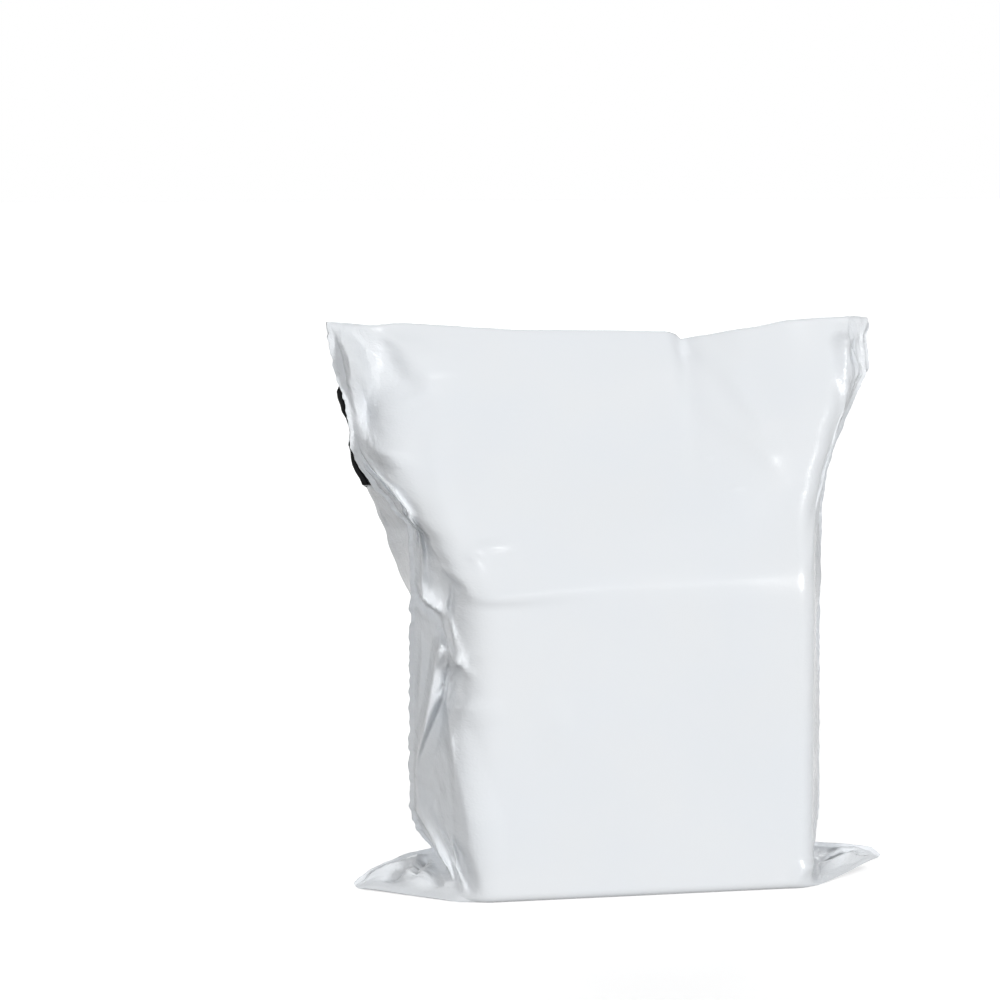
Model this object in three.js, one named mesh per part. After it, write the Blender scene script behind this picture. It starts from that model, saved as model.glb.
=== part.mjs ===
import * as THREE from "three";

// Poly mailer bag in millimetres, standing on its bottom, front towards -Y, up is +Z.
// The bag is one length of film: a front sheet and a back sheet that meet at the bottom fold
// and the side seams, with the mouth and the lip folded back behind the top edge.

// Film, seams and folds
const flatWidth = 254;
const sealWidth = 2;
const edgeThickness = 1;
const mouthLength = 27;
const mouthThickness = 1.6;
const lipLength = 52;
const lipThickness = 1;
const flapGap = 0.8;
const flapOverhang = 2.5;

// Space that the packed contents take up, and the height of the top edge
const packWidth = 160;
const packDepth = 85;
const packHeight = 142;
const standHeight = 261;

// Rounding of the film over the packed edges
const leftRounding = 13;
const rightRounding = 8;
const footRounding = 4;
const shoulderRounding = 9;

// Depth of the notch in the top edge and set-back of the film there
const notchDrop = 10;
const notchSetBack = 5;

// The film left over at each side of the pack, which makes the ears and the flare
const slack = (flatWidth - packWidth) / 2;
const halfDepth = packDepth / 2;
const foldRadius = (2 * mouthThickness + flapGap) / 2;
const topHeight = standHeight - foldRadius;

// Levels run from 0 at the foot to 1 at the pack's top and 2 at the top edge.
// Seam lines and shoulder lines: level, then reach past the pack in shares of the slack.
const leftSeam = [
  [0.13, 0.21], [0.19, 0.36], [0.27, 0.44], [1, 0.43], [1.21, 0.45], [1.3, 0.64], [1.39, 0.82],
  [1.45, 0.94], [1.53, 1], [1.65, 1.03], [1.78, 1.15], [1.86, 1.19], [2, 1.22],
];
const rightSeam = [
  [0.09, 0.28], [0.18, 0.34], [1, 0.34], [1.26, 0.35], [1.39, 0.39], [1.46, 0.45], [1.58, 0.56],
  [1.67, 0.67], [1.77, 0.78], [1.87, 0.77], [1.92, 0.76], [2, 0.81],
];
const leftShoulder = [
  [1, 0], [1.07, 0.13], [1.16, 0.28], [1.27, 0.43], [1.39, 0.55], [1.54, 0.66], [1.67, 0.6],
  [1.8, 0.47], [1.91, 0.55], [2, 0.79],
];
const leftBackShoulder = [
  [0.68, 0], [0.85, 0.15], [1.01, 0.43], [1.13, 0.57], [1.25, 0.7], [1.35, 0.79], [1.5, 0.81],
];
const rightShoulder = [
  [1, 0], [1.2, 0.02], [1.26, 0.04], [1.39, 0.15], [1.54, 0.29], [1.68, 0.41], [1.8, 0.46],
  [1.92, 0.47], [2, 0.49],
];

// Top edge: place in shares of half the flat width, drop in shares of the notch, set-back likewise
const topEdge = [
  [-1.08, 0, 0], [-0.92, 0.18, -0.3], [-0.82, 0.09, 0.2], [-0.68, 0.2, 0], [-0.39, 0.48, -0.2],
  [0.16, 0.62, 0], [0.2, 0.69, 0.4], [0.225, 1, 1], [0.29, 0.84, 0.2], [0.45, 0.51, -0.4],
  [0.63, 0.13, -0.4], [0.79, 0.05, 0], [0.88, 0, 0.2], [0.93, 0.1, 0],
];

// Ears, the bottom corners of the bag that lie out beside the pack. The ridge runs from the tip
// to the pack: place along, then height in shares of the slack.
const leftEarLift = 0.5;
const leftEarRidge = [[0, 0.06], [0.1, 0.13], [0.25, 0.21], [0.45, 0.27], [0.7, 0.34], [1, 0.38]];
const rightEarLift = 4;
const rightEarRidge = [[0, 0.12], [0.06, 0.155], [0.14, 0.2], [0.3, 0.22], [0.6, 0.25], [1, 0.28]];
const earTipDepth = 2;

// Creases: points across, level and relief, then how far the fold spreads to its two sides.
// Across is 0 at the pack's corner, 1 at the seam and below 0 on the front.
const topLeftCreases = [
  {
    line: [
      [0.94, 1.95, 0], [0.77, 1.93, 3], [0.66, 1.87, 6.5], [0.72, 1.8, 4.5], [0.85, 1.74, 2],
      [0.96, 1.67, 0],
    ],
    spread: [9, 17],
  },
  {
    line: [
      [0.02, 1.99, -1], [0.04, 1.96, -3], [0.11, 1.88, -4.5], [0.07, 1.81, -4], [0.02, 1.79, -2.5],
      [-0.06, 1.82, 0],
    ],
    spread: [14, 4],
  },
  {
    line: [[-0.06, 1.82, 0.5], [-0.06, 1.74, 2.6], [0, 1.72, 3], [0.21, 1.71, 1.5], [0.43, 1.72, 0]],
    spread: [7, 4],
  },
  {
    line: [
      [0.94, 1.67, -1.5], [0.66, 1.66, -4], [0.36, 1.65, -5.5], [0.09, 1.64, -5], [-0.13, 1.62, -4],
      [-0.23, 1.61, 0],
    ],
    spread: [8, 12],
  },
  {
    line: [[0.85, 1.57, 0], [0.6, 1.55, 2], [0.3, 1.53, 2.6], [0.06, 1.53, 2], [-0.13, 1.55, 0]],
    spread: [8, 7],
  },
];
const leftNeckCreases = [
  {
    line: [
      [0.98, 1.54, -0.5], [0.91, 1.49, -2.5], [0.83, 1.45, -3.5], [0.6, 1.39, -4], [0.45, 1.32, -4],
      [0.34, 1.28, -2],
    ],
    spread: [4, 10],
  },
  {
    line: [
      [0.85, 1.5, 0], [0.7, 1.46, 3], [0.55, 1.42, 4], [0.45, 1.38, 5], [0.23, 1.34, 5.5],
      [0.21, 1.28, 6], [0.38, 1.22, 6], [0.55, 1.16, 6], [0.66, 1.09, 5], [0.77, 1.01, 4.6],
      [0.79, 0.96, 4.6], [0.74, 0.92, 4], [0.51, 0.9, 1.5],
    ],
    spread: [5, 6],
  },
  {
    line: [[0.13, 1.07, 1.5], [0.34, 1.03, 3], [0.55, 0.98, 4.5], [0.72, 0.93, 5.5]],
    spread: [12, 14],
  },
  { line: [[0.74, 0.93, 5], [0.6, 0.91, 4.5], [0.49, 0.9, 4], [0.36, 0.88, 1.5]], spread: [4, 12] },
  { line: [[0.13, 1.03, 0], [0.21, 0.98, -2], [0.28, 0.91, -2.5], [0.32, 0.86, 0]], spread: [4, 5] },
  {
    line: [[0.96, 0.95, 0], [0.89, 0.9, -4], [0.74, 0.88, -5.4], [0.57, 0.88, -4], [0.45, 0.87, 0]],
    spread: [5, 5],
  },
];
const leftSideCreases = [
  {
    line: [[0.38, 0.92, 0], [0.32, 0.88, 3.2], [0.26, 0.84, 4], [0.13, 0.8, 4.2], [0.09, 0.76, 2.6]],
    spread: [4, 5],
  },
  {
    line: [
      [0.49, 0.77, 4], [0.54, 0.7, 6], [0.62, 0.62, 7], [0.73, 0.49, 7], [0.87, 0.36, 5.6],
      [0.93, 0.29, 4.4], [0.98, 0.19, 1.5],
    ],
    spread: [6, 12],
  },
  {
    line: [
      [0.09, 0.75, -0.5], [0.21, 0.72, -3.6], [0.34, 0.68, -5], [0.38, 0.61, -5.2], [0.51, 0.55, -4.4],
      [0.68, 0.45, -3.2], [0.89, 0.31, 0],
    ],
    spread: [5, 14],
  },
  {
    line: [[0.34, 0.6, 2.6], [0.23, 0.49, 4], [0.15, 0.38, 3.6], [0.06, 0.26, 2.6], [0.02, 0.15, 0.8]],
    spread: [7, 12],
  },
  {
    line: [
      [1, 0.19, 1], [0.83, 0.19, 3], [0.68, 0.19, 5], [0.47, 0.15, 6.6], [0.28, 0.11, 7.6],
      [0.26, 0.07, 8], [0.26, 0.02, 6], [0.11, 0, 1],
    ],
    spread: [13, 5],
  },
  { line: [[0.21, 0.18, 0], [0.13, 0.12, -3.6], [0.09, 0.07, -4], [0.04, 0.01, 0]], spread: [4, 5] },
];
const leftCreases = [...topLeftCreases, ...leftNeckCreases, ...leftSideCreases];
const rightCreases = [
  {
    line: [[0.06, 2, 0.6], [0.03, 1.93, 1.6], [0.04, 1.81, 1.6], [0.13, 1.58, 1.5], [0.17, 1.36, 1.7],
      [0.11, 1.24, 1.4], [0.02, 1.04, 0]],
    spread: [10, 4],
  },
  { line: [[0.04, 1.93, 1], [0.38, 1.94, 1.5], [0.72, 1.94, 1.4], [0.98, 1.93, 0.6]], spread: [4, 4] },
  { line: [[0.04, 1.92, 1], [0.32, 1.88, 1.6], [0.57, 1.83, 1.5], [0.94, 1.78, 0.6]], spread: [4, 5] },
  { line: [[0.68, 1.62, 0], [0.77, 1.54, -2], [0.72, 1.45, -2.2], [0.64, 1.33, 0]], spread: [9, 8] },
  { line: [[0.85, 1.53, 0], [0.68, 1.38, 2], [0.51, 1.22, 2.2], [0.38, 1.09, 0]], spread: [8, 8] },
  { line: [[0.94, 1.3, 0], [0.72, 1.12, 2], [0.55, 0.95, 2.2], [0.43, 0.83, 0]], spread: [9, 9] },
  { line: [[0.64, 0.76, 0], [0.81, 0.6, 2], [0.72, 0.42, 2.4], [0.51, 0.29, 0]], spread: [9, 9] },
  { line: [[0.85, 0.38, 0], [0.6, 0.25, 2.2], [0.3, 0.15, 2], [0.13, 0.07, 0]], spread: [8, 8] },
];
const backCreases = [
  { line: [[0.81, 1.62, 0], [0.51, 1.38, 2.2], [0.26, 1.17, 2.4], [0.04, 1.01, 0.6]], spread: [11, 7] },
  { line: [[0.85, 1.33, 0], [0.64, 1.17, -2.4], [0.43, 1.04, 0]], spread: [9, 9] },
  { line: [[0.34, 0.86, 0], [0.57, 0.69, 2.2], [0.74, 0.49, 2.4], [0.89, 0.32, 0]], spread: [11, 8] },
  { line: [[0.85, 0.22, 0], [0.55, 0.15, 2.2], [0.26, 0.08, 2], [0.09, 0.01, 0]], spread: [8, 7] },
];

// Width along the seams where the creases fade out, and how far a crease leans outwards
const creaseFade = 6;
const creaseLean = 0.25;

const leftPart = {
  seam: leftSeam, shoulder: leftShoulder, backShoulder: leftBackShoulder,
  rounding: leftRounding, lift: leftEarLift, ridge: leftEarRidge,
};
const rightPart = {
  seam: rightSeam, shoulder: rightShoulder, backShoulder: rightShoulder,
  rounding: rightRounding, lift: rightEarLift, ridge: rightEarRidge,
};

// How finely the sheets are divided
const footRows = 6;
const sideRows = 18;
const upperRows = 22;
const roundingRows = 3;
const foldRows = 4;
const mouthRows = 4;
const lipRows = 6;
const sideColumns = 8;
const roundingColumns = 4;
const frontColumns = 14;

// Length of film on each side of the pack's corner, for each millimetre of rounding
const cornerFilm = 0.6;

const film = new THREE.MeshStandardMaterial({ color: 0xeef1f5, roughness: 0.22, metalness: 0 });

// Value at x from a short list of points with rising x
function follow(points, x, item = 1) {
  const last = points.length - 1;
  if (x <= points[0][0]) return points[0][item];
  if (x >= points[last][0]) return points[last][item];
  const next = points.findIndex((point) => point[0] > x);
  const [before, after] = [points[next - 1], points[next]];
  const share = (x - before[0]) / (after[0] - before[0]);
  const eased = (share + THREE.MathUtils.smoothstep(share, 0, 1)) / 2;
  return THREE.MathUtils.lerp(before[item], after[item], eased);
}

// Point at a share of the way along the parabola that rounds a corner
function roundCorner(start, corner, end, share) {
  const onStart = start.clone().lerp(corner, share);
  const onEnd = corner.clone().lerp(end, share);
  return onStart.lerp(onEnd, share);
}

function heightOf(level) {
  if (level <= 1) return level * packHeight;
  return packHeight + (level - 1) * (topHeight - packHeight);
}

function levelOf(height) {
  if (height <= packHeight) return height / packHeight;
  return 1 + (height - packHeight) / (topHeight - packHeight);
}

// Rows from the bottom fold to the top edge, each with its zone and its share of that zone
function makeRows() {
  const rows = [];
  for (let i = 0; i < footRows; i++) rows.push({ zone: "foot", share: i / footRows });
  for (let i = 0; i <= roundingRows; i++) rows.push({ zone: "footBend", share: i / roundingRows });
  for (let i = 1; i < sideRows; i++) rows.push({ zone: "side", share: i / sideRows });
  for (let i = 0; i <= roundingRows; i++) rows.push({ zone: "shoulderBend", share: i / roundingRows });
  for (let i = 1; i <= upperRows; i++) rows.push({ zone: "upper", share: i / upperRows });
  return rows;
}

// Depth from the middle, as x, and height, as y, of a row at the pack's corner
function rowProfile(row) {
  const middle = new THREE.Vector2(edgeThickness / 2, 0);
  const foot = new THREE.Vector2(halfDepth, 0);
  const shoulder = new THREE.Vector2(halfDepth, packHeight);
  const top = new THREE.Vector2(mouthThickness / 2, topHeight);
  const beforeFoot = new THREE.Vector2(halfDepth - footRounding, 0);
  const afterFoot = new THREE.Vector2(halfDepth, footRounding);
  const beforeShoulder = new THREE.Vector2(halfDepth, packHeight - shoulderRounding);
  const afterShoulder = shoulder.clone().lerp(top, shoulderRounding / shoulder.distanceTo(top));
  if (row.zone === "foot") return middle.lerp(beforeFoot, row.share);
  if (row.zone === "footBend") return roundCorner(beforeFoot, foot, afterFoot, row.share);
  if (row.zone === "side") return afterFoot.lerp(beforeShoulder, row.share);
  if (row.zone === "shoulderBend") return roundCorner(beforeShoulder, shoulder, afterShoulder, row.share);
  return afterShoulder.lerp(top, row.share);
}

// How far an ear's underside is lifted off the ground at a reach from the middle
function liftAt(reach, part) {
  const outward = Math.max((reach - packWidth / 2) / slack, 0);
  return part.lift * outward * outward;
}

// Seam edge and pack corner of a row in an ear
function earKeys(profile, part, face) {
  const inward = profile.x / halfDepth;
  const tipReach = packWidth / 2 + slack;
  const rootReach = packWidth / 2 + part.seam[0][1] * slack;
  const edge = new THREE.Vector3(
    THREE.MathUtils.lerp(tipReach, rootReach, inward),
    (face * edgeThickness) / 2,
    follow(part.ridge, inward) * slack,
  );
  const cornerReach = packWidth / 2 + (1 - inward) * (slack - earTipDepth);
  const corner = new THREE.Vector3(cornerReach, face * profile.x, profile.y + liftAt(cornerReach, part));
  return { edge, corner, upright: 0 };
}

// Seam edge and pack corner of a row on the pack's side or above it
function sideKeys(profile, part, face) {
  const rootHeight = part.ridge[part.ridge.length - 1][1] * slack;
  const level = levelOf(profile.y);
  const rise = (profile.y - footRounding) / (topHeight - footRounding);
  const height = THREE.MathUtils.lerp(rootHeight, topHeight, rise);
  const reach = packWidth / 2 + follow(part.seam, levelOf(height)) * slack;
  const edge = new THREE.Vector3(reach, (face * edgeThickness) / 2, height);
  const shoulder = face > 0 ? part.backShoulder : part.shoulder;
  const shoulderReach = packWidth / 2 + follow(shoulder, level) * slack;
  const corner = new THREE.Vector3(shoulderReach, face * profile.x, profile.y);
  return { edge, corner, upright: THREE.MathUtils.smoothstep(height - rootHeight, 0, 2 * sealWidth) };
}

// Seam edge, root of the seal and pack corner of a row. Side is -1 on the left, 1 on the right.
function rowKeys(row, side, face) {
  const part = side < 0 ? leftPart : rightPart;
  const profile = rowProfile(row);
  const inEar = row.zone === "foot" || row.zone === "footBend";
  const { edge, corner, upright } = inEar ? earKeys(profile, part, face) : sideKeys(profile, part, face);
  const lean = THREE.MathUtils.lerp(Math.PI / 3, 0, upright);
  const seal = Math.min(sealWidth, 0.35 * edge.distanceTo(corner));
  const root = edge.clone().sub(new THREE.Vector3(Math.cos(lean) * seal, 0, Math.sin(lean) * seal));
  const mirror = new THREE.Vector3(side, 1, 1);
  return [edge, root, corner].map((point) => point.multiply(mirror));
}

// Points from the seam edge over the pack's corner to the start of the front
function sidePoints([edge, root, corner], farCorner, rounding) {
  const start = corner.clone().lerp(root, Math.min(rounding / corner.distanceTo(root), 0.4));
  const end = corner.clone().lerp(farCorner, rounding / corner.distanceTo(farCorner));
  const cornerShare = (cornerFilm * rounding) / slack;
  const list = [{ at: edge, across: 1 }];
  for (let i = 0; i < sideColumns; i++) {
    const share = i / sideColumns;
    list.push({ at: root.clone().lerp(start, share), across: THREE.MathUtils.lerp(1, cornerShare, share) });
  }
  for (let i = 0; i <= roundingColumns; i++) {
    const share = i / roundingColumns;
    list.push({ at: roundCorner(start, corner, end, share), across: cornerShare * (1 - 2 * share) });
  }
  return list;
}

// Points of one row from the left seam to the right seam. Face is -1 in front, 1 at the back.
function rowPoints(row, face) {
  const left = rowKeys(row, -1, face);
  const right = rowKeys(row, 1, face);
  const onFoot = row.zone === "foot";
  const leftPoints = sidePoints(left, right[2], onFoot ? footRounding : leftRounding);
  const rightPoints = sidePoints(right, left[2], onFoot ? footRounding : rightRounding).reverse();
  const from = leftPoints[leftPoints.length - 1].at;
  const to = rightPoints[0].at;
  const fromPlace = -packWidth / 2 + cornerFilm * leftRounding;
  const toPlace = packWidth / 2 - cornerFilm * rightRounding;
  const frontPoints = [];
  for (let i = 1; i < frontColumns; i++) {
    const share = i / frontColumns;
    const side = share < 0.5 ? -1 : 1;
    const at = from.clone().lerp(to, share);
    if (onFoot) at.z = liftAt(Math.abs(at.x), side < 0 ? leftPart : rightPart);
    const place = THREE.MathUtils.lerp(fromPlace, toPlace, share);
    const across = (Math.abs(place) - packWidth / 2) / slack;
    frontPoints.push({ at, across, side });
  }
  return [
    ...leftPoints.map((point) => ({ ...point, side: -1 })),
    ...frontPoints,
    ...rightPoints.map((point) => ({ ...point, side: 1 })),
  ];
}

// Relief of one crease at a place across and at a height
function creaseAt(crease, across, height) {
  let nearest = Infinity;
  let relief = 0;
  for (let i = 0; i + 1 < crease.line.length; i++) {
    const [from, to] = [crease.line[i], crease.line[i + 1]];
    const start = new THREE.Vector2(from[0] * slack, heightOf(from[1]));
    const way = new THREE.Vector2(to[0] * slack, heightOf(to[1])).sub(start);
    const here = new THREE.Vector2(across * slack, height).sub(start);
    const share = THREE.MathUtils.clamp(here.dot(way) / way.lengthSq(), 0, 1);
    const spread = crease.spread[way.cross(here) > 0 ? 0 : 1];
    const distance = here.addScaledVector(way, -share).length() / spread;
    if (distance < nearest) {
      nearest = distance;
      relief = THREE.MathUtils.lerp(from[2], to[2], share);
    }
  }
  return relief * Math.max(0, 1 - nearest);
}

// Drop and set-back of the film towards the wavy top edge
function bendTop(point) {
  const above = Math.max(levelOf(point.z) - 1, 0);
  const place = point.x / (flatWidth / 2);
  point.z -= follow(topEdge, place, 1) * notchDrop * above ** 2;
  point.y += follow(topEdge, place, 2) * notchSetBack * above ** 6;
  return point;
}

// Positions of a whole sheet up to the top edge, as rows of points. Creases raise the film to the
// front or the back, leaning outwards, and never past the depth of the pack.
function makeSheet(face) {
  const rows = makeRows();
  return rows.map((row) => rowPoints(row, face).map(({ at, across, side }) => {
    if (row.zone === "foot" || across === 1) return bendTop(at.clone());
    const creases = face > 0 ? backCreases : side < 0 ? leftCreases : rightCreases;
    const fade = Math.min(((1 - across) * slack) / creaseFade, (topHeight - at.z) / creaseFade, 1);
    const relief = creases.reduce((sum, crease) => sum + creaseAt(crease, across, at.z), 0) * fade;
    const outward = (side * creaseLean * Math.min(Math.abs(at.x) / (packWidth / 2), 1)) * relief;
    const point = at.clone().add(new THREE.Vector3(outward, face * relief, 0));
    point.y = THREE.MathUtils.clamp(point.y, -halfDepth, halfDepth);
    return bendTop(point);
  }));
}

// Rows of the top fold, which turns both sheets over to the back
function foldOver(front, back) {
  const rows = [];
  const top = front.length - 1;
  for (let i = 1; i < foldRows; i++) {
    const angle = (Math.PI * i) / foldRows;
    const turn = (point, radius) => point.clone()
      .add(new THREE.Vector3(0, radius * (1 - Math.cos(angle)), radius * Math.sin(angle)));
    rows.push([
      front[top].map((point) => turn(point, foldRadius)),
      back[top].map((point) => turn(point, flapGap / 2)),
    ]);
  }
  return rows;
}

// Rows of the folded mouth and the lip, which lie close behind the back sheet
function hangFlap(back) {
  const top = back.length - 1;
  const slope = Math.hypot(topHeight - packHeight, halfDepth);
  const outward = new THREE.Vector3(0, topHeight - packHeight, halfDepth).normalize();
  const straightBack = new THREE.Vector3(0, 1, 0);
  const behind = (column, distance, offset) => {
    const place = Math.max(top - (distance / (slope - shoulderRounding)) * upperRows, 0);
    const lower = Math.min(Math.floor(place), top - 1);
    const turned = Math.min(distance / mouthLength, 1);
    const way = straightBack.clone().lerp(outward, turned).normalize();
    const sideways = Math.sign(back[top][column].x) * flapOverhang * turned;
    const atEnd = column < 2 || column > back[top].length - 3;
    const point = back[lower][column].clone().lerp(back[lower + 1][column], place - lower);
    point.x += atEnd ? sideways : 0;
    return point.addScaledVector(way, offset);
  };
  const row = (distance, thickness) => [flapGap + mouthThickness, flapGap + mouthThickness - thickness]
    .map((offset) => back[top].map((_, column) => behind(column, distance, offset)));
  const rows = [];
  for (let i = 0; i <= mouthRows; i++) rows.push(row((mouthLength * i) / mouthRows, mouthThickness));
  const lipStart = mouthLength + edgeThickness / 2;
  for (let i = 0; i <= lipRows; i++) rows.push(row(lipStart + (lipLength * i) / lipRows, lipThickness));
  return rows;
}

// Closed geometry from an outer and an inner sheet that share no points
function closeSheets(outer, inner) {
  const rows = outer.length;
  const columns = outer[0].length;
  const points = [outer, inner].flat(2);
  const index = (sheet, row, column) => (sheet * rows + row) * columns + column;
  const faces = [];
  const quad = (a, b, c, d) => faces.push(a, b, c, a, c, d);
  for (let r = 0; r + 1 < rows; r++) {
    for (let c = 0; c + 1 < columns; c++) {
      quad(index(0, r, c), index(0, r, c + 1), index(0, r + 1, c + 1), index(0, r + 1, c));
      quad(index(1, r, c + 1), index(1, r, c), index(1, r + 1, c), index(1, r + 1, c + 1));
    }
    const end = columns - 1;
    quad(index(1, r, 0), index(0, r, 0), index(0, r + 1, 0), index(1, r + 1, 0));
    quad(index(0, r, end), index(1, r, end), index(1, r + 1, end), index(0, r + 1, end));
  }
  for (let c = 0; c + 1 < columns; c++) {
    const last = rows - 1;
    quad(index(0, 0, c + 1), index(0, 0, c), index(1, 0, c), index(1, 0, c + 1));
    quad(index(0, last, c), index(0, last, c + 1), index(1, last, c + 1), index(1, last, c));
  }
  const geometry = new THREE.BufferGeometry().setFromPoints(points);
  geometry.setIndex(faces);
  return geometry;
}

function makeBag() {
  const front = makeSheet(-1);
  const back = makeSheet(1);
  const tail = [...foldOver(front, back), ...hangFlap(back)];
  const outer = [...front, ...tail.map((pair) => pair[0])];
  const inner = [...back, ...tail.map((pair) => pair[1])];
  const geometry = closeSheets(outer, inner);
  geometry.computeBoundingBox();
  const middle = geometry.boundingBox.getCenter(new THREE.Vector3());
  geometry.translate(-middle.x, -middle.y, -geometry.boundingBox.min.z);
  geometry.computeVertexNormals();
  const bag = new THREE.Mesh(geometry, film);
  bag.name = "mailer_bag";
  return bag;
}

const mailer = new THREE.Group();
mailer.add(makeBag());

export default mailer;
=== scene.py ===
import math
import random

import bmesh
import bpy
import numpy as np
from mathutils import Matrix, Vector, noise


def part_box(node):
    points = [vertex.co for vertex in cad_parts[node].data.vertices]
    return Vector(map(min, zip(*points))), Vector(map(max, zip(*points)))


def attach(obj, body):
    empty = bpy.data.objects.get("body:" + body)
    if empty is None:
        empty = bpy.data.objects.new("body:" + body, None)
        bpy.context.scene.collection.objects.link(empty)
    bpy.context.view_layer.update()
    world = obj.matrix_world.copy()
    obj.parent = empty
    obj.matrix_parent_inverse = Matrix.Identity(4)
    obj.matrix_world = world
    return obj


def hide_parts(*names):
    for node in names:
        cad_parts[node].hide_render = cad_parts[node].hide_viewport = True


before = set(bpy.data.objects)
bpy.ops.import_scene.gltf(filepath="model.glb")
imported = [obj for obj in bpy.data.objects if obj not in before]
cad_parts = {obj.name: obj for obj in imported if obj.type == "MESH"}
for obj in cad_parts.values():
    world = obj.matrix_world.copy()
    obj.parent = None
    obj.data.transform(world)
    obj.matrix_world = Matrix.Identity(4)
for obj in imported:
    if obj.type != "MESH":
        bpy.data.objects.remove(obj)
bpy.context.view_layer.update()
_, bag_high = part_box("mailer_bag")

# Lengths are in millimetres up to the finished mesh, which is in metres
METRE = 1000.0

# Flat bag and packed space
FLAT_HALF = 127.0
PACK_HALF = 80.0
PACK_DEEP = 42.5
PACK_TALL = 142.0
SLACK = FLAT_HALF - PACK_HALF
SEAL_WIDE = 2.0
EDGE_THICK = 0.8
MOUTH_THICK = 1.2
MOUTH_LONG = 27.0
LIP_THICK = 0.6
LIP_LONG = 55.0
FLAP_GAP = 0.8
FOLD_RADIUS = (2 * MOUTH_THICK + FLAP_GAP) / 2
STAND_TALL = bag_high.z * METRE
TOP_TALL = STAND_TALL - FOLD_RADIUS
SLOPE_LONG = math.hypot(TOP_TALL - PACK_TALL, PACK_DEEP)
SHEET_LONG = PACK_DEEP + PACK_TALL + SLOPE_LONG

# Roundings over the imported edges
LEFT_ROUND = 13.0
RIGHT_ROUND = 8.0
FOOT_ROUND = 4.0
SHOULDER_ROUND = 8.0

# The frame's origin is below the middle of the solid, and the pack stands a little to its right
PACK_MIDDLE = bag_high.x * METRE - FLAT_HALF

# Seams: height, then reach past the pack
LEFT_SEAM = (
    (18, 10), (27, 17), (38, 20.7), (142, 20), (167, 21), (178, 30), (188, 38.4), (196, 44.2),
    (205, 47.2), (219, 48.6), (230, 51.5), (235, 53.9), (244, 55.7), (261, 57.8),
)
RIGHT_SEAM = (
    (13, 13), (26, 16), (142, 15.5), (173, 16.3), (188, 18.3), (197, 21), (211, 26.5),
    (222, 31.5), (230, 35), (234, 37), (245, 36.2), (251, 35.4), (261, 38),
)

# Shoulders, from the pack's upper corners to the top edge: height, then reach past the pack
LEFT_SHOULDER = (
    (142, 0), (150, 6), (161, 13), (174, 20), (188, 26), (205, 31), (220, 28), (236, 22), (248, 26),
    (261, 37),
)
LEFT_BACK_SHOULDER = (
    (96, 0), (120, 7), (143, 20), (157, 27), (171, 33), (183, 37), (200, 38), (220, 38), (261, 38),
)
RIGHT_SHOULDER = (
    (142, 0), (165, 1), (173, 2), (188, 7), (205, 13.5), (222, 19.5), (236, 21.5), (250, 22),
    (261, 23),
)

# Top edge: place across, drop and set-back
TOP_EDGE = (
    (-137, 0, 0), (-117, 1.6, -1.5), (-104, 0.8, 1), (-86, 2, 0), (-67, 3.3, -0.5), (-49, 4.6, -1),
    (-10, 5.2, 0), (20, 6.0, 0), (25, 7, 2), (28.3, 10, 5), (37, 8.2, 1), (57, 5, -2),
    (80, 1.2, -2), (95, 0.4, 0), (112, 0, 1), (119, 0.8, 0),
)

# Ears: lift of the tip, and the ridge's place from tip to pack and height
LEFT_EAR = (0.5, ((0, 2.9), (0.1, 6.3), (0.25, 9.9), (0.45, 12.8), (0.7, 16.2), (1, 18)))
RIGHT_EAR = (4.0, ((0, 5.4), (0.06, 7.3), (0.14, 9.4), (0.3, 10.4), (0.6, 11.8), (1, 13)))
EAR_TIP = 2.0

# Depth of the placed folds against their stated relief, and the number of short creases on a sheet
FOLD_DEPTH = 1.35
SMALL_FOLDS = 80
CREASE_SEED = 3

# A fold leaves this much film and air between a sheet and the middle of the bag
SHEET_APART = 0.6

# Folds stand out mostly towards the front or the back, and a little towards their own side
OUT_SIDEWAYS, OUT_AHEAD = 0.245, 0.97

# Crinkle of the welds: wave lengths of shake and jolt along the seam, and how far they move it
SHAKE_WAVE, JOLT_WAVE = 3.2, 1.7
SHAKE_ACROSS, JOLT_ACROSS, JOLT_AHEAD = 1.0, 0.35, 0.8
RIGHT_WELD_SHARE = 0.4
WELD_WIDE = 5

# Film on each side of a rounded corner as a share of the rounding, and the most of a side that a
# rounding takes up
ROUNDING_FILM, ROUNDING_MOST = 0.6, 0.4

# The seal's lean at the foot, and the most of a side that it takes up
SEAL_LEAN = math.radians(60)
SEAL_MOST = 0.35

# The flap's sideways lean beside the pack, the columns that move with its ends, and the step from
# the mouth to the lip
FLAP_LEAN = 0.9
FLAP_END_COLUMNS = 12
LIP_STEP = 0.4

# Strength of the bump over the pack and what slack film adds, the place across where the slack
# starts and the width over which it grows
PACK_BUMP, SLACK_BUMP = 0.03, 0.5
SLACK_START, SLACK_WIDE = 74, 14

# Distance between the rows past the top edge on the film's texture
FLAP_ROW_SPACING = 3.0

# Rows and columns of the sheets
FOOT_ROWS, FOOT_BEND_ROWS, SIDE_ROWS, SHOULDER_ROWS, UPPER_ROWS = 14, 5, 98, 7, 92
FOLD_ROWS, MOUTH_ROWS, LIP_ROWS = 6, 12, 16
SEAL_COLUMNS, SIDE_COLUMNS, ROUND_COLUMNS, FRONT_COLUMNS = 4, 38, 10, 66


def follow(points, x, item=1):
    """Value at x along a list of points, halfway between straight and eased steps."""
    keys = np.array([p[0] for p in points], float)
    values = np.array([p[item] for p in points], float)
    x = np.clip(x, keys[0], keys[-1])
    step = np.clip(np.searchsorted(keys, x, "right") - 1, 0, len(keys) - 2)
    share = (x - keys[step]) / (keys[step + 1] - keys[step])
    eased = 0.5 * (share + share * share * (3 - 2 * share))
    return values[step] + eased * (values[step + 1] - values[step])


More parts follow.
